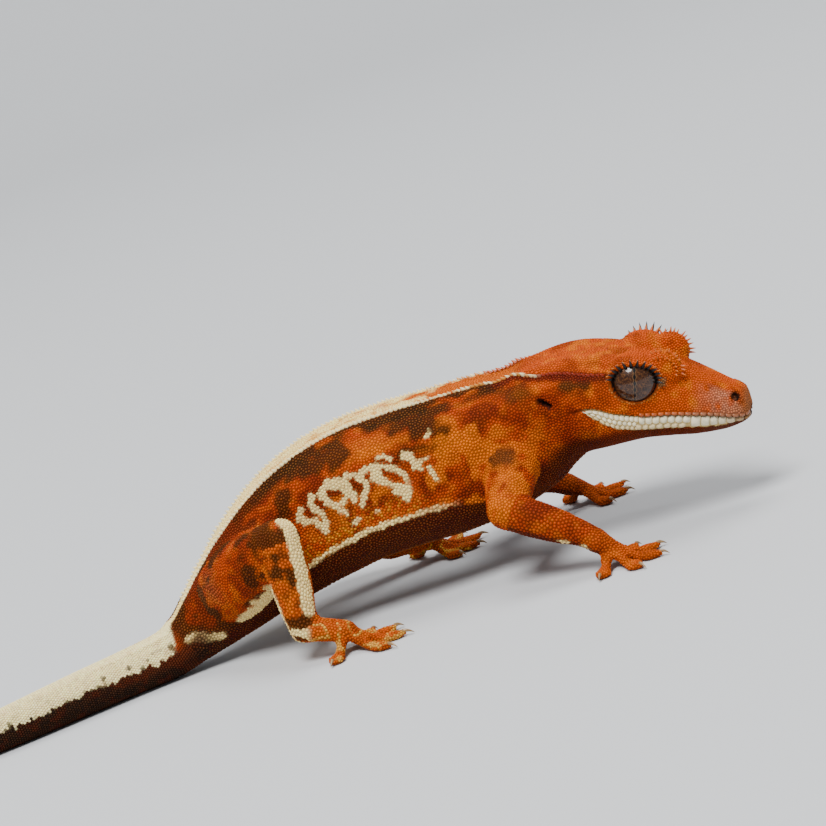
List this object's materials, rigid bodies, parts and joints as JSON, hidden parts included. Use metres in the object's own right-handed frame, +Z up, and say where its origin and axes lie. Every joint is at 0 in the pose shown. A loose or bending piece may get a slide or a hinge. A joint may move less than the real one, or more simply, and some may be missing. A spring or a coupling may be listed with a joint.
{
  "type": "crested gecko",
  "caption": "Life-size still model of a crested gecko standing on four feet with its tail laid behind it, for display or reference.",
  "frame": {"origin": "on the floor, below the middle of the whole animal", "axes": "+X the way the animal faces, along the floor; +Y its left side; +Z up from the floor"},
  "size_m": [0.1886, 0.0592, 0.0326],
  "materials": {
    "skin_orange": "dry, finely scaled skin",
    "skin_cream": "dry, finely scaled skin",
    "eye": "wet gloss"
  },
  "bodies": {
    "root": {"head": "skin_orange", "lower_jaw": "skin_cream", "eye_right": "eye", "eye_left": "eye", "neck": "skin_orange", "chest": "skin_orange", "belly": "skin_orange", "pelvis": "skin_orange", "tail_root": "skin_cream", "tail_middle": "skin_cream", "tail_rear": "skin_cream", "tail_tip": "skin_cream", "upper_arm_front_right": "skin_orange", "forearm_front_right": "skin_orange", "hand_front_right": "skin_orange", "toe_1_front_right": "skin_orange", "toe_2_front_right": "skin_orange", "toe_3_front_right": "skin_orange", "toe_4_front_right": "skin_orange", "toe_5_front_right": "skin_orange", "upper_arm_front_left": "skin_orange", "forearm_front_left": "skin_orange", "hand_front_left": "skin_orange", "toe_1_front_left": "skin_orange", "toe_2_front_left": "skin_orange", "toe_3_front_left": "skin_orange", "toe_4_front_left": "skin_orange", "toe_5_front_left": "skin_orange", "thigh_hind_right": "skin_orange", "shin_hind_right": "skin_orange", "foot_hind_right": "skin_orange", "toe_1_hind_right": "skin_orange", "toe_2_hind_right": "skin_orange", "toe_3_hind_right": "skin_orange", "toe_4_hind_right": "skin_orange", "toe_5_hind_right": "skin_orange", "thigh_hind_left": "skin_orange", "shin_hind_left": "skin_orange", "foot_hind_left": "skin_orange", "toe_1_hind_left": "skin_orange", "toe_2_hind_left": "skin_orange", "toe_3_hind_left": "skin_orange", "toe_4_hind_left": "skin_orange", "toe_5_hind_left": "skin_orange"}
  },
  "joints": []
}
